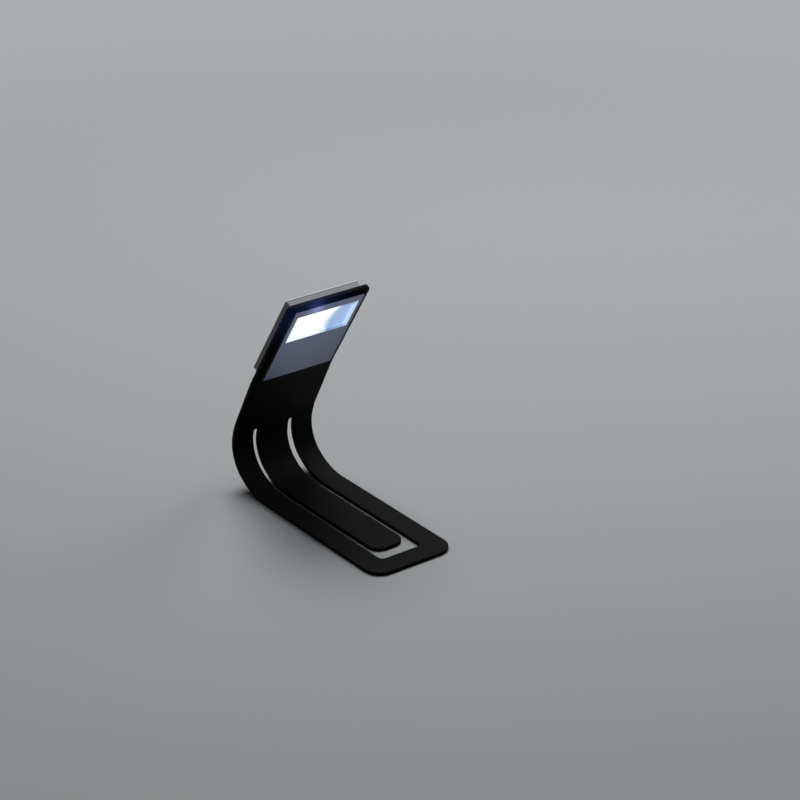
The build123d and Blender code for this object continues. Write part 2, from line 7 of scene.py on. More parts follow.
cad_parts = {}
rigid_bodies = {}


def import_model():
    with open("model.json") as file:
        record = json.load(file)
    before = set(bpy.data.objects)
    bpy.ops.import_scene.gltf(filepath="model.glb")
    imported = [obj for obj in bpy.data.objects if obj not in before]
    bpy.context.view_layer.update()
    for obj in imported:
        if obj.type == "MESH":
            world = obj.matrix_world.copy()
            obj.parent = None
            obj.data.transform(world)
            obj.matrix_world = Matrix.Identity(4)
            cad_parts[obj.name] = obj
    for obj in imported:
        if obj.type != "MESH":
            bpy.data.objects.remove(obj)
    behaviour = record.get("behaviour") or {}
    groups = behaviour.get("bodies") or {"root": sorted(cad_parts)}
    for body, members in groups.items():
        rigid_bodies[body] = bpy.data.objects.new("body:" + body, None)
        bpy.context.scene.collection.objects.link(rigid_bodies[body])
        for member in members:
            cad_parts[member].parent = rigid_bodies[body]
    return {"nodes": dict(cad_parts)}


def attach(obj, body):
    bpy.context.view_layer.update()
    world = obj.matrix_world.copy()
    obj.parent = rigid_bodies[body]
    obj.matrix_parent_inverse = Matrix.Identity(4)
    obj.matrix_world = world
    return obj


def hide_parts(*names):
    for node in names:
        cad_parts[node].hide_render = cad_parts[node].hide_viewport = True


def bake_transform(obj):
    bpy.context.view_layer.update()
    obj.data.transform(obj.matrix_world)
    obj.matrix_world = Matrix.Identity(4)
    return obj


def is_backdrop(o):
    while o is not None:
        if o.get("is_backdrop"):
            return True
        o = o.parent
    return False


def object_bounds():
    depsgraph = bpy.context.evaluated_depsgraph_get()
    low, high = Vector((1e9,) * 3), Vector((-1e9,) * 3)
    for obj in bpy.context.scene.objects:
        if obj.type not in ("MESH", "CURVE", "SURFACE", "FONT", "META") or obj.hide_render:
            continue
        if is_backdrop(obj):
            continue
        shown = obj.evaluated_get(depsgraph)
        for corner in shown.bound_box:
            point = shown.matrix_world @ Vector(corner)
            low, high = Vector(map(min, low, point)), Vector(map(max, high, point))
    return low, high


for leftover in list(bpy.data.objects):
    bpy.data.objects.remove(leftover)
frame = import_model()
cadLow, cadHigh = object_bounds()
print("frame loaded,", len(frame["nodes"]), "nodes")
mm = 0.001


# ---- sizes in millimetres, and the line that the leaf follows ----
screwRow = {"cellMiddle": 32.7, "fromCell": 12.3, "lowX": 8.0, "highX": 13.9, "high": 23.5, "underLow": 2.0}
lowScrew = screwRow["cellMiddle"] + sqrt(screwRow["fromCell"] ** 2 - screwRow["lowX"] ** 2)
head = {
    "bodyTop": 2.0, "bottom": lowScrew + screwRow["underLow"],
    "windowWidth": 27.8, "windowHeight": 15.6, "windowMiddle": 13.0, "cellMiddle": screwRow["cellMiddle"],
    "screws": [(-screwRow["highX"], screwRow["high"]), (screwRow["highX"], screwRow["high"]),
               (-screwRow["lowX"], lowScrew), (screwRow["lowX"], lowScrew)],
}
leaf = {
    "width": 37.0, "thick": 1.5, "topCorner": 2.5, "footCorner": 7.0,
    "floorRun": 72.0, "neckRun": 19.8, "headRun": head["bottom"] + 0.9,
    # each arc's radius and turn
    "foot": (25.1, 38.8), "heel": (14.4, 65.0), "calf": (35.1, 14.6), "nape": (72.0, 4.6),
    "footBar": 9.0, "footInner": 2.0,
    "tongueWidth": 14.2, "tongueGap": 6.4, "tongueEnd": 5.0, "slack": 1.2, "rootDrop": 1.1,
    "slotWidth": 2.2, "slotEnd": 0.6, "slotTopTurn": 106.2,
    "windowHole": (28.4, 16.2), "windowCorner": 0.5, "cellHole": 10.4, "bossHole": 1.5,
    "edge": 0.22, "edgeSteps": 10, "openingSteps": 8, "cellSteps": 48, "bossSteps": 20, "sliceTurn": 1.6,
}


def arcRun(radius, turn):
    return (radius * radians(turn), turn)


def walk(line, s):
    y, z = line["start"]
    turn = 0.0
    for length, bend in line["runs"]:
        step = min(s, length)
        if bend:
            radius = length / radians(bend)
            swept = bend * step / length
            y += radius * (sin(radians(turn + swept)) - sin(radians(turn)))
            z += radius * (cos(radians(turn)) - cos(radians(turn + swept)))
            turn += swept
        else:
            y += step * cos(radians(turn))
            z += step * sin(radians(turn))
        s -= step
        if s <= 0:
            break
    return y, z, turn


def stationOf(line, turn):
    walked = turned = 0.0
    for length, bend in line["runs"]:
        if bend and turned + bend >= turn:
            return walked + length * (turn - turned) / bend
        walked += length
        turned += bend
    return walked


def axesAt(line, s):
    y, z, turn = walk(line, s)
    along = Vector((0, cos(radians(turn)), sin(radians(turn))))
    out = Vector((0, -sin(radians(turn)), cos(radians(turn))))
    return Vector((0, y, z)), along, out


def onLine(line, s, height=0.0):
    here, along, out = axesAt(line, s)
    return (here + out * height) * mm


half = leaf["thick"] / 2
leafLine = {"start": (-leaf["footBar"] / 2, half), "runs": [
    (leaf["floorRun"], 0), arcRun(*leaf["foot"]), arcRun(*leaf["heel"]), arcRun(*leaf["calf"]),
    (leaf["neckRun"], 0), arcRun(*leaf["nape"]), (leaf["headRun"], 0)]}
leafLength = sum(length for length, bend in leafLine["runs"])
slotTop = stationOf(leafLine, leaf["slotTopTurn"])
ease = leaf["slack"] * tan(radians(leaf["slotTopTurn"] / 2))
tongueTip = leaf["footBar"] / 2 + leaf["tongueGap"]
tongueLine = {"start": (tongueTip, half), "runs": [
    (leafLine["start"][0] + leaf["floorRun"] + ease - tongueTip, 0),
    arcRun(leaf["foot"][0] - leaf["slack"], leaf["foot"][1]),
    arcRun(leaf["heel"][0] - leaf["slack"], leaf["heel"][1]),
    arcRun(leaf["calf"][0] - leaf["slack"], leaf["slotTopTurn"] - leaf["foot"][1] - leaf["heel"][1]),
    (ease, 0)]}
tongueLength = sum(length for length, bend in tongueLine["runs"])
neckTurn = leaf["foot"][1] + leaf["heel"][1] + leaf["calf"][1]
legStation = stationOf(leafLine, leaf["slotTopTurn"] / 2)
tongueStation = stationOf(tongueLine, leaf["slotTopTurn"] / 2)
neckStation = stationOf(leafLine, (leaf["slotTopTurn"] + neckTurn) / 2)
napeStation = stationOf(leafLine, neckTurn + leaf["nape"][1] / 2)
rootStation = tongueLength - leaf["rootDrop"]

# The head's own axes: right along X, up the leaf, and out of its front face
topMiddle, headUp, headOut = axesAt(leafLine, leafLength)
topMiddle = topMiddle + headOut * half


def inHead(x, down, depth):
    return (topMiddle + Vector((x, 0, 0)) - headUp * down + headOut * depth) * mm


# ---- outlines and slabs ----
def softOutline(corners, steps=7):
    points = []
    count = len(corners)
    for i, (px, py, radius) in enumerate(corners):
        here = Vector((px, py))
        back = (Vector(corners[i - 1][:2]) - here).normalized()
        ahead = (Vector(corners[(i + 1) % count][:2]) - here).normalized()
        halfAngle = back.angle(ahead) / 2
        reach = radius / tan(halfAngle)
        centre = here + (back + ahead).normalized() * radius / sin(halfAngle)
        first, last = here + back * reach - centre, here + ahead * reach - centre
        convex = back.x * ahead.y - back.y * ahead.x < 0
        sweep = first.angle(last)
        for k in range(steps + 1):
            share = k / steps
            arm = (first * sin((1 - share) * sweep) + last * sin(share * sweep)) / sin(sweep)
            points.append((centre + arm, arm.normalized() * (1 if convex else -1)))
    return points


def roundedBox(width, height, radius, x=0.0, y=0.0, steps=7):
    w, h = width / 2, height / 2
    return softOutline([(x - w, y - h, radius), (x + w, y - h, radius),
                        (x + w, y + h, radius), (x - w, y + h, radius)], steps)


def ring(radius, x, y, steps):
    turns = [2 * pi * k / steps for k in range(steps)]
    return [(Vector((x + radius * cos(a), y + radius * sin(a))), Vector((cos(a), sin(a)))) for a in turns]


def slab(outer, holes, low, high, edge, segments=3):
    bm = bmesh.new()
    layer = bm.verts.layers.float_vector.new("flatNormal")
    levels = []
    for k in range(segments + 1):
        a = pi / 2 * (1 - k / segments)
        levels.append((edge * (1 - cos(a)), low + edge - edge * sin(a), -a))
    for k in range(segments + 1):
        a = pi / 2 * k / segments
        levels.append((edge * (1 - cos(a)), high - edge + edge * sin(a), a))
    caps = {0: [], len(levels) - 1: []}
    for index, outline in enumerate([outer] + holes):
        side = 1 if index == 0 else -1
        rows = []
        for inset, depth, tilt in levels:
            row = []
            for point, normal in outline:
                spot = point - normal * inset * side
                vert = bm.verts.new((spot.x, spot.y, depth))
                flat = normal * side * cos(tilt)
                vert[layer] = Vector((flat.x, flat.y, sin(tilt)))
                row.append(vert)
            rows.append(row)
        size = len(outline)
        for lower, upper in zip(rows, rows[1:]):
            for i in range(size):
                j = (i + 1) % size
                quad = [lower[i], lower[j], upper[j], upper[i]]
                bm.faces.new(quad if side == 1 else quad[::-1])
        for level in caps:
            caps[level] += [bm.edges.get((rows[level][i], rows[level][(i + 1) % size])) for i in range(size)]
    for level, edges in caps.items():
        made = bmesh.ops.triangle_fill(bm, edges=edges, use_beauty=True)
        for face in made["geom"]:
            if isinstance(face, bmesh.types.BMFace):
                face.normal_update()
                if (face.normal.z > 0) != (level > 0):
                    face.normal_flip()
    return bm


def openLoops(polygons):
    ends = {}
    for polygon in polygons:
        for a, b in zip(polygon, polygon[1:] + polygon[:1]):
            if (b, a) in ends:
                del ends[(b, a)]
            else:
                ends[(a, b)] = True
    after = {b: a for a, b in ends}
    loops = []
    while after:
        start = next(iter(after))
        loop, at = [start], after.pop(start)
        while at != start:
            loop.append(at)
            at = after.pop(at)
        loops.append(loop)
    return loops


def asPiece(name, mesh):
    piece = bpy.data.objects.new(name, mesh)
    bpy.context.scene.collection.objects.link(piece)
    return piece


# Puts chosen faces of a flat slab in their place, with exact normals and closed cut ends
def placed(bm, name, place, faces=None):
    layer = bm.verts.layers.float_vector["flatNormal"]
    verts, index, normals, polygons, corners = [], {}, [], [], []
    for face in (bm.faces if faces is None else faces):
        for vert in face.verts:
            if vert.index not in index:
                index[vert.index] = len(verts)
                spot, normal = place(vert.co, vert[layer])
                verts.append(spot)
                normals.append(normal.normalized())
        polygons.append([index[vert.index] for vert in face.verts])
        corners += [normals[i] for i in polygons[-1]]
    for loop in openLoops(polygons):
        polygons.append(loop)
        a, b, c = (verts[loop[i * len(loop) // 3]] for i in range(3))
        corners += [(b - a).cross(c - a).normalized()] * len(loop)
    mesh = bpy.data.meshes.new(name)
    mesh.from_pydata(verts, [], polygons)
    mesh.shade_smooth()
    mesh.normals_split_custom_set(corners)
    return asPiece(name, mesh)


# ---- leaf: one flat cut-out, sliced for its bends and laid along its line ----
def leafCutout():
    w, t = leaf["width"] / 2, leaf["tongueWidth"] / 2
    outside = t + leaf["slotWidth"]
    tip, top, cap = slotTop - tongueLength, slotTop, leaf["slotEnd"]
    outer = softOutline([(-w, 0, leaf["footCorner"]), (w, 0, leaf["footCorner"]),
                         (w, leafLength, leaf["topCorner"]), (-w, leafLength, leaf["topCorner"])],
                        leaf["edgeSteps"])
    opening = softOutline([(-outside, leaf["footBar"], leaf["footInner"]),
                           (outside, leaf["footBar"], leaf["footInner"]),
                           (outside, top, cap), (t, top, cap), (t, tip, leaf["tongueEnd"]),
                           (-t, tip, leaf["tongueEnd"]), (-t, top, cap), (-outside, top, cap)],
                          leaf["openingSteps"])
    window = roundedBox(*leaf["windowHole"], leaf["windowCorner"], 0, leafLength - head["windowMiddle"])
    cell = ring(leaf["cellHole"], 0, leafLength - head["cellMiddle"], leaf["cellSteps"])
    bosses = [ring(leaf["bossHole"], x, leafLength - down, leaf["bossSteps"]) for x, down in head["screws"]]
    return slab(outer, [opening, window, cell] + bosses, -half, half, leaf["edge"])


def bendMarks(line, shift):
    marks, walked = [], 0.0
    for length, bend in line["runs"]:
        if bend:
            count = int(bend / leaf["sliceTurn"]) + 1
            marks += [shift + walked + length * k / count for k in range(count + 1)]
        walked += length
    return marks


cut = {"underNeck": 3.4, "underNape": 9.0, "rootLength": 2.2, "rootClear": 2.5, "pastBar": 1.0,
       "onVertex": 0.0002}
tongueShift = slotTop - tongueLength
yokeSeam, neckSeam = neckStation - cut["underNeck"], napeStation - cut["underNape"]
rootSeam = slotTop - cut["rootLength"]
tongueMarks = [mark for mark in bendMarks(tongueLine, tongueShift) if mark < slotTop - cut["rootClear"]]
seams = [yokeSeam, neckSeam, rootSeam, slotTop]


def sliced(bm, marks):
    for mark in sorted(set(round(m, 4) for m in marks)):
        bmesh.ops.bisect_plane(bm, geom=bm.verts[:] + bm.edges[:] + bm.faces[:],
                               dist=cut["onVertex"], plane_co=(0, mark, 0), plane_no=(0, 1, 0))
    bm.verts.index_update()
    return bm


flatLeaf = sliced(leafCutout(), bendMarks(leafLine, 0) + tongueMarks + seams)


def layOn(line, shift):
    def place(co, normal):
        here, along, out = axesAt(line, co.y - shift)
        spot = Vector((co.x, 0, 0)) + here + out * co.z
        return spot * mm, Vector((normal.x, 0, 0)) + along * normal.y + out * normal.z
    return place


# The tongue hangs from its top, so its bends run the other way along its line
def bentPiece(bm, name, faces, line, shift, bend, nodes, material):
    piece = placed(bm, name, layOn(line, shift), faces)
    piece.data.materials.append(material)
    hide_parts(*nodes)
    reach = bend["reach"] if line is leafLine else -bend["reach"]
    start, end = (onLine(line, bend["hinge"] + side * reach) for side in (-1, 1))
    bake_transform(piece)


slotMiddle = leaf["tongueWidth"] / 2 + leaf["slotWidth"] / 2
barEnd = leaf["footBar"] + cut["pastBar"]


def between(bm, low, high, onTongue=None):
    chosen = []
    for face in bm.faces:
        middle = face.calc_center_median()
        tongueSide = abs(middle.x) < slotMiddle and barEnd < middle.y < slotTop
        if low < middle.y < high and onTongue in (None, tongueSide):
            chosen.append(face)
    return chosen


# ---- shader maths ----
def shadeOf(value):
    return value if isinstance(value, Wire) else (*value, 1.0)


class Wire:
    def __init__(self, home, socket):
        self.home, self.socket = home, socket

    def combine(self, operation, left, right):
        return self.home.node("ShaderNodeMath", {"operation": operation}, {0: left, 1: right})

    def __add__(self, other):
        return self.combine("ADD", self, other)

    def __radd__(self, other):
        return self.combine("ADD", other, self)

    def __sub__(self, other):
        return self.combine("SUBTRACT", self, other)

    def __rsub__(self, other):
        return self.combine("SUBTRACT", other, self)

    def __mul__(self, other):
        return self.combine("MULTIPLY", self, other)

    def __rmul__(self, other):
        return self.combine("MULTIPLY", other, self)

    def __truediv__(self, other):
        return self.combine("DIVIDE", self, other)

    def __pow__(self, other):
        return self.combine("POWER", self, other)

    def __abs__(self):
        return self.combine("ABSOLUTE", self, 0.0)

    def smaller(self, other):
        return self.combine("MINIMUM", self, other)

    def larger(self, other):
        return self.combine("MAXIMUM", self, other)

    def step(self, low, high):
        return self.home.node("ShaderNodeMapRange", {"interpolation_type": "SMOOTHSTEP"},
                              {0: self, 1: low, 2: high, 3: 0.0, 4: 1.0})

    def varied(self, middle, swing):
        return middle + (self - 0.5) * swing


class Nodes:
    def node(self, kind, settings=None, inputs=None, out=0):
        made = self.tree.nodes.new(kind)
        for key, value in (settings or {}).items():
            setattr(made, key, value)
        for key, value in (inputs or {}).items():
            if isinstance(value, Wire):
                self.tree.links.new(value.socket, made.inputs[key])
            else:
                made.inputs[key].default_value = value
        return Wire(self, made.outputs[out]) if made.outputs else made

    def mix(self, share, first, second):
        return self.node("ShaderNodeMix", {"data_type": "RGBA"},
                         {0: share, 6: shadeOf(first), 7: shadeOf(second)}, out=2)

    def vectorMaths(self, operation, first, second):
        return self.node("ShaderNodeVectorMath", {"operation": operation}, {0: first, 1: second},
                         out="Vector" if operation == "SUBTRACT" else "Value")


class Finish(Nodes):
    def __init__(self, name):
        self.material = bpy.data.materials.new(name)
        self.material.use_nodes = True
        self.tree = self.material.node_tree
        self.tree.nodes.clear()

    def spot(self):
        return self.node("ShaderNodeTexCoord", out="Object")

    def noise(self, scale, detail, where=None):
        return self.node("ShaderNodeTexNoise", None,
                         {"Vector": where or self.spot(), "Scale": scale, "Detail": detail}, out="Fac")

    def gapTo(self, place):
        return self.vectorMaths("DISTANCE", self.spot(), place)

    def along(self, direction):
        away = self.vectorMaths("SUBTRACT", self.spot(), headSpot)
        return self.vectorMaths("DOT_PRODUCT", away, direction) * perMetre

    def bump(self, height, strength, distance):
        return self.node("ShaderNodeBump", None,
                         {"Height": height, "Strength": strength, "Distance": distance})

    def skin(self, values):
        surface = self.node("ShaderNodeBsdfPrincipled", None, values)
        self.node("ShaderNodeOutputMaterial", None, {"Surface": surface})
        return self.material


# ---- finishes: places on the head in millimetres, reaches and bump depths in metres ----
black = (0, 0, 0)
perMetre = 1000.0
headSpot = inHead(0, 0, 0)

# The lit lamp shines on what is round it: a broad spot and a small flare
glow = {
    "broadSpot": inHead(-8.0, 5.0, 1.0),
    "flareSpot": inHead(-5.8, 2.6, 1.6), "flareReach": 0.0055, "flarePower": 1.5,
}
blackShine = {"reach": 0.022, "power": 1.8, "broad": (0.0045, 0.0120, 0.0460), "flare": (0.030, 0.045, 0.160)}
panelShine = {"reach": 0.060, "power": 0.8, "broad": (0.064, 0.076, 0.130), "flare": (0.22, 0.24, 0.52)}


def near(finish, spot, reach, power):
    return (1 - (finish.gapTo(spot) / reach).smaller(1.0)) ** power


def lit(finish, shine):
    wide = finish.mix(near(finish, glow["broadSpot"], shine["reach"], shine["power"]), black, shine["broad"])
    flare = near(finish, glow["flareSpot"], glow["flareReach"], glow["flarePower"])
    return finish.mix(flare, wide, shine["flare"])


def inWindow(finish):
    return finish.along(Vector((1, 0, 0))), finish.along(-headUp) - head["windowMiddle"]


# Moulded plastic has pale flecks and a fine grain, black pieces near the lamp take its shine
moulded = {"flecks": 90.0, "fleckDetail": 4.0, "fleckEdge": (0.35, 0.7), "fleckRough": 0.12,
           "grainDetail": 2.0, "grainRough": 0.1, "bump": 0.35}
partingLine = {"behind": -4.8, "width": 0.16, "colour": (0.03, 0.03, 0.034), "strength": 0.75,
               "grainLeft": 0.1}
# Painted highlight: a pale band along the housing's back edge, kept to its top end where that edge catches
# the light
rimHighlight = {"back": -5.5, "backEdge": (0.02, 0.08), "front": -5.2, "frontEdge": (0.0, 0.1),
           "down": 3.0, "downEdge": (0.0, 0.6), "colour": (0.86, 0.87, 0.88)}


def withPartingLineAndHighlight(f, base, grain):
    behind, down = f.along(headOut), f.along(-headUp)
    seam = 1 - abs(behind - partingLine["behind"]).step(partingLine["width"] / 2, partingLine["width"])
    # Painted highlight mask: near the back edge, and only at the top end
    rim = (behind - rimHighlight["back"]).step(*rimHighlight["backEdge"])
    rim = rim * (1 - (behind - rimHighlight["front"]).step(*rimHighlight["frontEdge"]))
    rim = rim * (1 - (down - rimHighlight["down"]).step(*rimHighlight["downEdge"]))
    base = f.mix(rim, base, rimHighlight["colour"])
    base = f.mix(seam * partingLine["strength"], base, partingLine["colour"])
    return base, grain * partingLine["grainLeft"] - seam


def mouldedPlastic(name, look):
    f = Finish(name)
    flecks = f.noise(moulded["flecks"], moulded["fleckDetail"])
    grain = f.noise(look["grain"], moulded["grainDetail"])
    base, height = f.mix(flecks.step(*moulded["fleckEdge"]), look["base"], look["fleck"]), grain
    if look.get("partedAndHighlit"):
        base, height = withPartingLineAndHighlight(f, base, grain)
    rough = grain.varied(flecks.varied(look["roughness"], moulded["fleckRough"]), moulded["grainRough"])
    values = {"Base Color": base, "Roughness": rough, "Specular IOR Level": look.get("sheen", 0.5),
              "Normal": f.bump(height, moulded["bump"], look["depth"])}
    if "shine" in look:
        values["Emission Color"], values["Emission Strength"] = lit(f, look["shine"]), 1.0
    return f.skin(values)


deepBlack = {"base": (0.0022, 0.0023, 0.0028), "fleck": (0.0034, 0.0036, 0.0044), "shine": blackShine}
leafBlack = mouldedPlastic("leafBlack", {**deepBlack, "roughness": 0.55, "grain": 5200.0, "depth": 0.00003,
                                         "sheen": 0.04})
bodyBlack = mouldedPlastic("bodyBlack", {**deepBlack, "roughness": 0.48, "grain": 4200.0, "depth": 0.00002,
                                         "sheen": 0.05})
housingGrey = mouldedPlastic("housingGrey", {"base": (0.235, 0.248, 0.268), "fleck": (0.262, 0.274, 0.294),
                                             "roughness": 0.36, "grain": 5600.0, "depth": 0.00003,
                                             "partedAndHighlit": True})
coverGrey = mouldedPlastic("coverGrey", {"base": (0.225, 0.238, 0.258), "fleck": (0.252, 0.264, 0.284),
                                         "roughness": 0.38, "grain": 5600.0, "depth": 0.00003})
knobBlack = mouldedPlastic("knobBlack", {"base": (0.012, 0.012, 0.013), "fleck": (0.016, 0.016, 0.017),
                                         "roughness": 0.45, "grain": 4200.0, "depth": 0.00003})
switchBlack = mouldedPlastic("switchBlack", {"base": (0.015, 0.015, 0.016), "fleck": (0.02, 0.02, 0.021),
                                             "roughness": 0.42, "grain": 4200.0, "depth": 0.00002})

# Panel: satin grey paint with a black edge along both sides
panelLook = {
    "base": (0.125, 0.130, 0.152), "cloud": (0.137, 0.142, 0.164), "clouds": 70.0, "cloudDetail": 3.0,
    "cloudEdge": (0.3, 0.75), "grain": 6800.0, "grainDetail": 2.0, "grainRough": 0.14,
    "leftEdge": (-15.9, -15.75), "rightEdge": (15.1, 15.25), "edgeColour": (0.004, 0.004, 0.005),
    "edgeRough": 0.5, "roughness": 0.36, "metallic": 0.25, "bump": 0.3, "depth": 0.00002,
}


def panelFinish():
    f = Finish("panelSatin")
    clouds = f.noise(panelLook["clouds"], panelLook["cloudDetail"])
    grain = f.noise(panelLook["grain"], panelLook["grainDetail"])
    across, down = inWindow(f)
    border = across.step(*panelLook["rightEdge"]).larger(1 - across.step(*panelLook["leftEdge"]))
    base = f.mix(clouds.step(*panelLook["cloudEdge"]), panelLook["base"], panelLook["cloud"])
    rough = grain.varied(panelLook["roughness"], panelLook["grainRough"]) + border * panelLook["edgeRough"]
    return f.skin({"Base Color": f.mix(border, base, panelLook["edgeColour"]), "Roughness": rough,
                   "Metallic": (1 - border) * panelLook["metallic"],
                   "Emission Color": f.mix(border, lit(f, panelShine), lit(f, blackShine)),
                   "Emission Strength": 1.0,
                   "Normal": f.bump(grain, panelLook["bump"], panelLook["depth"])})


# Light in the window: white at one side, blue at the other, with a deeper patch and spot low down
windowLook = {
    "ripple": 260.0, "rippleDetail": 2.0,
    "lean": 0.32, "waver": 3.0, "whiteEdge": (-0.2, 5.0), "white": (1.25, 1.3, 1.35),
    "cornerLean": 0.6, "cornerEdge": (6.0, 10.5), "corner": (0.92, 1.04, 1.12),
    "blue": (0.23, 0.36, 0.60), "rippledBlue": (0.31, 0.43, 0.66), "rippleEdge": (0.35, 0.7),
    "side": (0.50, 0.62, 0.88), "sideEdge": (11.3, 14.0),
    "pale": (0.62, 0.80, 0.82), "paleAcross": (3.5, 4.6), "paleDown": (0.5, 3.5),
    "patch": (0.18, 0.31, 0.55), "patchMiddle": 6.5, "patchAcross": (1.5, 3.0), "patchDown": (4.5, 6.0),
    "spot": (0.09, 0.18, 0.54), "spotAcross": 5.2, "spotDown": 6.2, "spotEdge": (0.5, 1.5),
}


def windowLight(finish):
    look = windowLook
    across, down = inWindow(finish)
    ripple = finish.noise(look["ripple"], look["rippleDetail"])
    whiteSide = 1 - ripple.varied(across + down * look["lean"], look["waver"]).step(*look["whiteEdge"])
    blue = finish.mix(ripple.step(*look["rippleEdge"]), look["blue"], look["rippledBlue"])
    blue = finish.mix(across.step(*look["sideEdge"]), blue, look["side"])
    pale = (1 - across.step(*look["paleAcross"])) * down.step(*look["paleDown"])
    blue = finish.mix(pale, blue, look["pale"])
    patch = down.step(*look["patchDown"]) * (1 - abs(across - look["patchMiddle"]).step(*look["patchAcross"]))
    blue = finish.mix(patch, blue, look["patch"])
    aside, below = across - look["spotAcross"], down - look["spotDown"]
    spotGap = (aside * aside + below * below) ** 0.5
    blue = finish.mix(spotGap.step(*look["spotEdge"]), look["spot"], blue)
    corner = (down - across * look["cornerLean"]).step(*look["cornerEdge"])
    return finish.mix(whiteSide, blue, finish.mix(corner, look["white"], look["corner"]))


reflectorLook = {"base": (0.45, 0.47, 0.50), "roughness": 0.25, "metallic": 0.6, "strength": 0.35}


def reflectorFinish():
    f = Finish("reflectorGlow")
    return f.skin({"Base Color": shadeOf(reflectorLook["base"]), "Roughness": reflectorLook["roughness"],
                   "Metallic": reflectorLook["metallic"], "Emission Color": windowLight(f),
                   "Emission Strength": reflectorLook["strength"]})


# Lens: clear in its middle, denser round its border, with a painted highlight as a bright line along its
# sides and foot
lensLook = {
    "base": (0.50, 0.56, 0.64), "roughness": 0.06, "bend": 1.49, "coat": 0.3,
    "middleAlpha": 0.55, "bandAlpha": 0.4, "bandAcross": (12.0, 13.2), "bandDown": (5.6, 6.8),
    "highlightAcross": (13.2, 13.6), "highlightDown": (7.35, 7.6), "footHighlight": 0.5, "line": (0.82, 0.95, 1.0),
    "strength": 0.92,
}


def lensFinish():
    f = Finish("lensClear")
    across, down = inWindow(f)
    band = abs(across).step(*lensLook["bandAcross"]).larger(abs(down).step(*lensLook["bandDown"]))
    footHighlight = down.step(*lensLook["highlightDown"]) * lensLook["footHighlight"]
    # Painted highlight: a bright line along the lens's sides, and fainter along its foot
    line = abs(across).step(*lensLook["highlightAcross"]).larger(footHighlight)
    return f.skin({"Base Color": shadeOf(lensLook["base"]), "Roughness": lensLook["roughness"],
                   "IOR": lensLook["bend"], "Coat Weight": lensLook["coat"],
                   "Alpha": lensLook["middleAlpha"] + band * lensLook["bandAlpha"],
                   "Emission Color": f.mix(line, windowLight(f), lensLook["line"]),
                   "Emission Strength": lensLook["strength"]})


# Lamp: a white case with a bright yellow dish in its middle
lampLook = {
    "depth": -0.5, "dishEdge": (0.0019, 0.0022), "roughness": 0.4, "strength": 0.2,
    "case": (0.8, 0.8, 0.78), "dish": (0.9, 0.75, 0.2),
    "caseLight": (0.3, 0.32, 0.36), "dishLight": (2.2, 2.3, 2.4),
}


def lampFinish():
    f = Finish("lampWhite")
    dish = 1 - f.gapTo(inHead(0, head["windowMiddle"], lampLook["depth"])).step(*lampLook["dishEdge"])
    return f.skin({"Base Color": f.mix(dish, lampLook["case"], lampLook["dish"]),
                   "Roughness": lampLook["roughness"],
                   "Emission Color": f.mix(dish, lampLook["caseLight"], lampLook["dishLight"]),
                   "Emission Strength": lampLook["strength"]})


# Metal is drawn in lines along the light's width, and a cell has a pressed ring in its can, darkened with
# painted shade
drawn = {"stretch": (1.0, 14.0, 14.0), "detail": 3.0, "darker": 0.82, "lineRough": 0.16, "bump": 0.25,
         "depth": 0.00001}
cellRing = {"middle": inHead(0, head["cellMiddle"], -4.0), "radius": 7.2, "width": 0.3, "darker": 0.35,
            "linesLeft": 0.2}


def metalFinish(name, look):
    f = Finish(name)
    lines = f.noise(look["streaks"], drawn["detail"],
                    f.node("ShaderNodeMapping", None, {0: f.spot(), "Scale": drawn["stretch"]}))
    base, height = f.mix(lines, look["tint"], [c * drawn["darker"] for c in look["tint"]]), lines
    if look.get("ringed"):
        fromRing = abs(f.gapTo(cellRing["middle"]) * perMetre - cellRing["radius"])
        grooveAndPaintedShade = 1 - fromRing.step(cellRing["width"] / 2, cellRing["width"])
        # The ring's groove is darkened: painted shade
        base = f.mix(grooveAndPaintedShade, base, [c * cellRing["darker"] for c in look["tint"]])
        height = lines * cellRing["linesLeft"] - grooveAndPaintedShade
    return f.skin({"Base Color": base, "Metallic": 1.0,
                   "Roughness": lines.varied(look["roughness"], drawn["lineRough"]),
                   "Normal": f.bump(height, drawn["bump"], drawn["depth"])})


springSteel = metalFinish("springSteel", {"tint": (0.60, 0.58, 0.53), "roughness": 0.30, "streaks": 500.0})
cellSteel = metalFinish("cellSteel", {"tint": (0.34, 0.34, 0.35), "roughness": 0.62, "streaks": 420.0,
                                      "ringed": True})
coreSteel = metalFinish("coreSteel", {"tint": (0.45, 0.45, 0.46), "roughness": 0.42, "streaks": 350.0})
screwSteel = metalFinish("screwSteel", {"tint": (0.15, 0.15, 0.155), "roughness": 0.48, "streaks": 900.0})

# Circuit board: green lacquer over a fine weave
boardLook = {
    "weave": 1400.0, "weaveShare": 0.3, "clouds": 300.0, "cloudDetail": 3.0, "cloudShare": 0.5,
    "dark": (0.010, 0.085, 0.035), "pale": (0.018, 0.13, 0.055),
    "roughness": 0.30, "cloudRough": 0.1, "coat": 0.4, "bump": 0.2, "depth": 0.00001,
}


def boardFinish():
    f = Finish("boardGreen")
    weave = f.node("ShaderNodeTexChecker", None, {"Vector": f.spot(), "Scale": boardLook["weave"]}, out="Fac")
    clouds = f.noise(boardLook["clouds"], boardLook["cloudDetail"])
    share = weave * boardLook["weaveShare"] + clouds * boardLook["cloudShare"]
    return f.skin({"Base Color": f.mix(share, boardLook["dark"], boardLook["pale"]),
                   "Roughness": boardLook["roughness"] + clouds * boardLook["cloudRough"],
                   "Coat Weight": boardLook["coat"],
                   "Normal": f.bump(weave, boardLook["bump"], boardLook["depth"])})


panelSatin = panelFinish()
reflectorGlow = reflectorFinish()
lensClear = lensFinish()
lampWhite = lampFinish()
boardGreen = boardFinish()
print("finishes made")
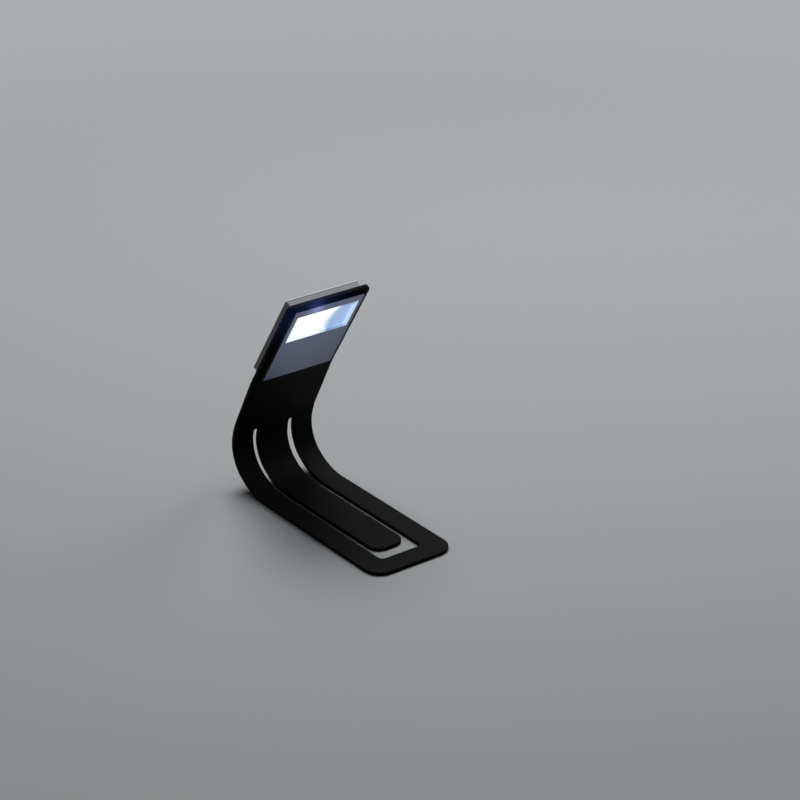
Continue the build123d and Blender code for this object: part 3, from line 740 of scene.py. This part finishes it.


# ---- leaf and its steel strips, in pieces cut at the seams and laid along their lines ----
far = 1000.0
legBend = {"bodies": ("frame", "yoke"), "hinge": legStation, "reach": 13.5}
neckBend = {"bodies": ("yoke", "neck"), "hinge": neckStation, "reach": 3.2}
napeBend = {"bodies": ("neck", "head"), "hinge": napeStation, "reach": 5.0}
rootBend = {"bodies": ("yoke", "tongue_root"), "hinge": rootStation, "reach": 0.9}
bladeBend = {"bodies": ("tongue_root", "tongue_blade"), "hinge": tongueStation, "reach": 12.5}
stretches = [("Legs", -far, yokeSeam, legBend), ("Calf", yokeSeam, neckSeam, neckBend),
             ("Head", neckSeam, far, napeBend)]
leafNodes = {"Legs": ["clip_frame", "yoke_leaf"], "Calf": ["neck_leaf"], "Head": ["head_leaf"]}
coreNodes = {"Legs": ["frame_core", "yoke_core"], "Calf": ["neck_core"], "Head": ["head_core"]}
for part, low, high, bend in stretches:
    bentPiece(flatLeaf, "leaf" + part, between(flatLeaf, low, high, False), leafLine, 0, bend,
              leafNodes[part], leafBlack)
for name, low, high, bend, node in [("tongueRoot", rootSeam, far, rootBend, "tongue_root"),
                                    ("tongueBlade", -far, rootSeam, bladeBend, "tongue_blade")]:
    bentPiece(flatLeaf, name, between(flatLeaf, low, high, True), tongueLine, tongueShift, bend,
              [node], leafBlack)
flatLeaf.free()

# One soft steel strip in each leg, up into the head
core = {"width": 4.0, "thick": 0.5, "inFoot": 46.0, "play": 0.05, "top": 26.0, "corner": 0.3,
        "cornerSteps": 3, "edge": 0.05}
legInner = leaf["tongueWidth"] / 2 + leaf["slotWidth"]
legMiddle = (legInner + leaf["width"] / 2) / 2
coreRun = (leaf["floorRun"] - core["inFoot"] + core["play"], leafLength - core["top"])
for side, x in (("Left", -legMiddle), ("Right", legMiddle)):
    strip = roundedBox(core["width"], coreRun[1] - coreRun[0], core["corner"], x, sum(coreRun) / 2,
                       core["cornerSteps"])
    flatCore = slab(strip, [], -core["thick"] / 2, core["thick"] / 2, core["edge"])
    flatCore = sliced(flatCore, bendMarks(leafLine, 0) + seams)
    for part, low, high, bend in stretches:
        bentPiece(flatCore, "core" + part + side, between(flatCore, low, high), leafLine, 0, bend,
                  coreNodes[part] if side == "Left" else [], coreSteel)
    flatCore.free()
print("leaf laid along its line")


# ---- head pieces ----
def headPlace(co, normal):
    return inHead(co.x, -co.y, co.z), Vector((normal.x, 0, 0)) + headUp * normal.y + headOut * normal.z


def fitted(piece, body, node):
    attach(piece, body)
    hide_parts(node)


panel = {"width": 32.6, "low": 1.0, "high": 1.6, "corner": 0.6, "windowCorner": 0.4, "margin": 0.2,
         "edge": 0.16, "underHead": 0.3}
bodyHigh = head["bottom"] + panel["underHead"] - head["bodyTop"]
bodyMiddle = -(head["bodyTop"] + bodyHigh / 2)
panelOutline = roundedBox(panel["width"], bodyHigh - 2 * panel["margin"], panel["corner"], 0, bodyMiddle)
window = roundedBox(head["windowWidth"], head["windowHeight"], panel["windowCorner"], 0,
                    -head["windowMiddle"])
flatPanel = slab(panelOutline, [window], panel["low"], panel["high"], panel["edge"])
frontPanel = placed(flatPanel, "frontPanel", headPlace)
frontPanel.data.materials.append(panelSatin)
fitted(frontPanel, "head", "front_panel")


# The CAD piece itself stays as it is, so its copy is welded and takes the rounded edges
rounding = {"weld": 1e-7, "flatTurn": 1, "sharpTurn": 35}


def merged(node, name):
    cad = bpy.data.objects[node]
    bm = bmesh.new()
    bm.from_mesh(cad.data)
    bm.transform(cad.matrix_world)
    bmesh.ops.remove_doubles(bm, verts=bm.verts, dist=rounding["weld"])
    bmesh.ops.dissolve_limit(bm, angle_limit=radians(rounding["flatTurn"]), verts=bm.verts, edges=bm.edges)
    mesh = bpy.data.meshes.new(name)
    bm.to_mesh(mesh)
    bm.free()
    return asPiece(name, mesh)


def settled(piece):
    shaped = bpy.data.meshes.new_from_object(piece.evaluated_get(bpy.context.evaluated_depsgraph_get()))
    piece.modifiers.clear()
    piece.data = shaped
    return shaped


def roundedCopy(node, name, width, segments, body, slotName, material):
    piece = merged(node, name)
    for kind, settings in (("BEVEL", {"width": width * mm, "segments": segments, "limit_method": "ANGLE",
                                      "angle_limit": radians(rounding["sharpTurn"]), "harden_normals": True,
                                      "use_clamp_overlap": True}),
                           ("WEIGHTED_NORMAL", {"keep_sharp": True})):
        modifier = piece.modifiers.new(kind, kind)
        for key, value in settings.items():
            setattr(modifier, key, value)
    piece.data.shade_smooth()
    shaped = settled(piece)
    shaped.materials.clear()
    shaped.materials.append(material)
    fitted(piece, body, node)


# Node, piece, edge radius and its steps, body, slot and finish
for row in [("front_body", "frontBody", 0.16, 2, "head", "front_shell", bodyBlack),
            ("window_lens", "windowLens", 0.10, 2, "head", "lens", lensClear),
            ("back_housing", "backHousing", 0.18, 2, "head", "back_shell", housingGrey),
            ("battery_cover", "batteryCover", 0.14, 2, "cover", "back_shell", coverGrey),
            ("switch_knob", "switchKnob", 0.10, 2, "switch", "knob", knobBlack),
            ("battery_cell_front", "cellFront", 0.18, 3, "head", "cell", cellSteel),
            ("battery_cell_back", "cellBack", 0.18, 3, "head", "cell", cellSteel)]:
    roundedCopy(*row)
print("head pieces made")


# ---- what repeats: a geometry tree with named sizes ----
class Growth(Nodes):
    def __init__(self, name, sizes):
        self.tree = bpy.data.node_groups.new(name, "GeometryNodeTree")
        for label, kind, value in [("Geometry", "NodeSocketGeometry", None)] + sizes:
            socket = self.tree.interface.new_socket(label, in_out="INPUT", socket_type=kind)
            if value is not None:
                socket.default_value = value
        self.tree.interface.new_socket("Geometry", in_out="OUTPUT", socket_type="NodeSocketGeometry")
        self.entry = self.tree.nodes.new("NodeGroupInput")

    def size(self, label):
        return Wire(self, self.entry.outputs[label])

    def vector(self, x=0.0, y=0.0, z=0.0):
        return self.node("ShaderNodeCombineXYZ", None, {0: x, 1: y, 2: z})

    def moved(self, shape, **change):
        return self.node("GeometryNodeTransform", None, {"Geometry": shape, **change})

    def joined(self, *shapes):
        made = self.tree.nodes.new("GeometryNodeJoinGeometry")
        for shape in reversed(shapes):
            self.tree.links.new(shape.socket, made.inputs[0])
        return Wire(self, made.outputs[0])

    def close(self, shape):
        real = self.node("GeometryNodeRealizeInstances", None, {0: shape})
        painted = self.node("GeometryNodeSetMaterial", None,
                            {"Geometry": real, "Material": self.size("Material")})
        self.node("NodeGroupOutput", None, {0: painted})
        return self.tree


def grown(name, points, tree, values):
    mesh = bpy.data.meshes.new(name)
    mesh.from_pydata(points, [], [])
    piece = asPiece(name, mesh)
    modifier = piece.modifiers.new("growth", "NODES")
    modifier.node_group = tree
    for item in tree.interface.items_tree:
        if item.in_out == "INPUT" and item.name in values:
            modifier[item.identifier] = values[item.name]
    piece.update_tag()
    settled(piece)
    return piece


# Domed heads with a cross slot, each turned by chance about its own axis
screw = {
    "headRadius": 1.3, "headHeight": 0.8, "dome": 0.22, "domePower": 5.0, "headSteps": 40, "sideSteps": 8,
    "shankRadius": 0.7, "shankLength": 3.7, "shankSteps": 24, "headFace": -4.2, "sharpTurn": 40,
    "crossWidth": 0.32, "crossLength": 1.5, "crossDepth": 0.34, "turnSeed": 4, "turnMost": 3.0,
}


def screwTree():
    sizes = ["Head Radius", "Head Height", "Dome", "Shank Radius", "Shank Length", "Cross Width",
             "Cross Length", "Cross Depth"]
    g = Growth("screwRow", [(label, "NodeSocketFloat", 1.0) for label in sizes] + [
        ("Seed", "NodeSocketInt", 0), ("Axis", "NodeSocketVector", (0, 0, 1)),
        ("Material", "NodeSocketMaterial", None)])
    radius, height = g.size("Head Radius"), g.size("Head Height")
    disc = g.node("GeometryNodeMeshCylinder", {"fill_type": "NGON"},
                  {"Vertices": screw["headSteps"], "Side Segments": screw["sideSteps"], "Radius": radius,
                   "Depth": height}, out="Mesh")
    up = g.node("ShaderNodeSeparateXYZ", None, {0: g.node("GeometryNodeInputPosition")}, out="Z")
    lift = (up / height + 0.5).larger(0.0)
    narrow = 1 - (lift ** screw["domePower"]) * g.size("Dome")
    spread = g.node("ShaderNodeVectorMath", {"operation": "MULTIPLY"},
                    {0: g.node("GeometryNodeInputPosition"), 1: g.vector(narrow, narrow, 1.0)})
    domed = g.node("GeometryNodeSetPosition", None, {"Geometry": disc, "Position": spread})
    bars = []
    for long, wide in (("Cross Length", "Cross Width"), ("Cross Width", "Cross Length")):
        bar = g.node("GeometryNodeMeshCube", None,
                     {"Size": g.vector(g.size(long), g.size(wide), g.size("Cross Depth") * 2)}, out="Mesh")
        bars.append(g.moved(bar, Translation=g.vector(0, 0, height / 2)))
    notch = g.node("GeometryNodeMeshBoolean", {"operation": "UNION", "solver": "EXACT"}, {1: g.joined(*bars)})
    slotted = g.node("GeometryNodeMeshBoolean", {"operation": "DIFFERENCE", "solver": "EXACT"},
                     {0: domed, 1: notch})
    shank = g.node("GeometryNodeMeshCylinder", None,
                   {"Vertices": screw["shankSteps"], "Radius": g.size("Shank Radius"),
                    "Depth": g.size("Shank Length")}, out="Mesh")
    shank = g.moved(shank, Translation=g.vector(0, 0, (height + g.size("Shank Length")) * -0.5))
    whole = g.moved(g.joined(slotted, shank), Translation=g.vector(0, 0, height * -0.5))
    toAxis = g.node("FunctionNodeAlignRotationToVector", {"axis": "Z"}, {"Vector": g.size("Axis")})
    angle = g.node("FunctionNodeRandomValue", {"data_type": "FLOAT"},
                   {2: 0.0, 3: screw["turnMost"], "Seed": g.size("Seed")}, out=1)
    turn = g.node("FunctionNodeAxisAngleToRotation", None, {"Axis": (0, 0, 1), "Angle": angle})
    turned = g.node("FunctionNodeRotateRotation", {"rotation_space": "LOCAL"}, {0: toAxis, 1: turn})
    return g.close(g.node("GeometryNodeInstanceOnPoints", None,
                          {"Points": g.size("Geometry"), "Instance": whole, "Rotation": turned}))


screwPlaces = [inHead(x, down, screw["headFace"]) for x, down in head["screws"]]
screws = grown("housingScrews", screwPlaces, screwTree(), {
    "Head Radius": screw["headRadius"] * mm, "Head Height": screw["headHeight"] * mm, "Dome": screw["dome"],
    "Shank Radius": screw["shankRadius"] * mm,
    "Shank Length": (screw["shankLength"] - screw["headHeight"]) * mm,
    "Cross Width": screw["crossWidth"] * mm, "Cross Length": screw["crossLength"] * mm,
    "Cross Depth": screw["crossDepth"] * mm,
    "Seed": screw["turnSeed"], "Axis": -headOut, "Material": screwSteel})
screws.data.shade_smooth()
screws.data.set_sharp_from_angle(angle=radians(screw["sharpTurn"]))
fitted(screws, "head", "housing_screws")
print("screws grown")


# ---- pieces that keep their own shape and only take a finish ----
plain = {
    "reflector": reflectorGlow, "led": lampWhite, "circuit_board": boardGreen, "resistor": knobBlack,
    "switch_case": springSteel, "switch_lever": switchBlack,
    "contact_spring": springSteel, "contact_rim": springSteel,
}
for name, material in plain.items():
    node = bpy.data.objects[name]
    node.data.materials.clear()
    node.data.materials.append(material)


# ---- studio ----
def sheetPlane(name, size, material):
    mesh = bpy.data.meshes.new(name)
    s = size / 2
    mesh.from_pydata([(-s, -s, 0), (s, -s, 0), (s, s, 0), (-s, s, 0)], [], [(0, 1, 2, 3)])
    mesh.materials.append(material)
    return asPiece(name, mesh)


class Sky(Nodes):
    def __init__(self, world):
        self.tree = world.node_tree
        self.tree.nodes.clear()


def seenRays(nodes):
    camera, glossy, through = (nodes.node("ShaderNodeLightPath", out="Is " + ray + " Ray")
                               for ray in ("Camera", "Glossy", "Transmission"))
    return camera.larger(glossy).larger(through)


backdrop = {"pale": (0.39, 0.405, 0.41), "light": (0.037, 0.038, 0.040)}

# Near the object the floor takes its light and shadow, further out it has the backdrop's own pale colour
floorLook = {
    "size": 8.0, "base": (0.325, 0.337, 0.345), "speck": (0.345, 0.357, 0.363), "bounce": (0.11, 0.11, 0.11),
    "specks": 900.0, "speckDetail": 3.0, "fade": (0.22, 0.75), "roughness": 0.7, "sheen": 0.1, "bump": 0.1,
    "depth": 0.00005,
}


def floorFinish():
    f = Finish("paleFloor")
    specks = f.noise(floorLook["specks"], floorLook["speckDetail"])
    seen = seenRays(f)
    fade = f.gapTo((0, 0, 0)).step(*floorLook["fade"]) * seen
    base = f.mix(seen, floorLook["bounce"], f.mix(specks, floorLook["base"], floorLook["speck"]))
    return f.skin({"Base Color": f.mix(fade, base, black), "Roughness": floorLook["roughness"],
                   "Specular IOR Level": floorLook["sheen"],
                   "Emission Color": f.mix(fade, black, backdrop["pale"]), "Emission Strength": 1.0,
                   "Normal": f.bump(specks, floorLook["bump"], floorLook["depth"])})


def skyFinish(world):
    sky = Sky(world)
    tint = sky.mix(seenRays(sky), backdrop["light"], backdrop["pale"])
    sky.node("ShaderNodeOutputWorld", None, {0: sky.node("ShaderNodeBackground", None, {0: tint, 1: 1.0})})


floor = sheetPlane("floor", floorLook["size"], floorFinish())
floor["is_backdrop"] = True


def areaLight(name, spot, target, size, power, tint):
    data = bpy.data.lights.new(name, "AREA")
    data.shape, data.size, data.energy, data.color = "DISK", size, power, tint
    lamp = bpy.data.objects.new(name, data)
    lamp.location = spot
    lamp.rotation_euler = (target - spot).to_track_quat("-Z", "Y").to_euler()
    bpy.context.scene.collection.objects.link(lamp)


# Each light's place from the object's middle, its size, power and tint
middle = (Vector(cadLow) + Vector(cadHigh)) / 2
for name, offset, size, power, tint in [("keyAbove", (0.15, 0.35, 0.75), 0.5, 6.5, (1, 0.995, 0.985)),
                                        ("fillRight", (0.62, 0.0, 0.48), 0.5, 2.1, (0.96, 0.98, 1)),
                                        ("fillLeft", (-0.6, -0.6, 0.35), 0.6, 0.05, (0.97, 0.98, 1))]:
    areaLight(name, middle + Vector(offset), middle, size, power, tint)
world = bpy.data.worlds.new("world")
bpy.context.scene.world = world
world.use_nodes = True
skyFinish(world)
bpy.context.scene.view_settings.view_transform = "Standard"
print("studio lit")

# ---- camera, fitted to the photograph from the head's top edge ----
view = {"distance": 891.0, "azimuth": -37.07, "pitch": 25.44, "right": -25.30, "up": 37.56, "lens": 109.26,
        "sensor": 36.0, "nearest": 0.05, "furthest": 20.0}
turn, tilt = radians(view["azimuth"]), radians(view["pitch"])
back = Vector((sin(turn) * cos(tilt), -cos(turn) * cos(tilt), sin(tilt)))
right = Vector((cos(turn), sin(turn), 0))
up = back.cross(right)
eye = topMiddle + back * view["distance"] - right * view["right"] - up * view["up"]
camera = bpy.data.objects.new("camera", bpy.data.cameras.new("camera"))
camera.data.lens, camera.data.sensor_width = view["lens"], view["sensor"]
camera.data.clip_start, camera.data.clip_end = view["nearest"], view["furthest"]
camera.matrix_world = Matrix.Translation(eye * mm) @ Matrix((right, up, back)).transposed().to_4x4()
bpy.context.scene.collection.objects.link(camera)
bpy.context.scene.camera = camera

# ---- size ----
low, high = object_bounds()
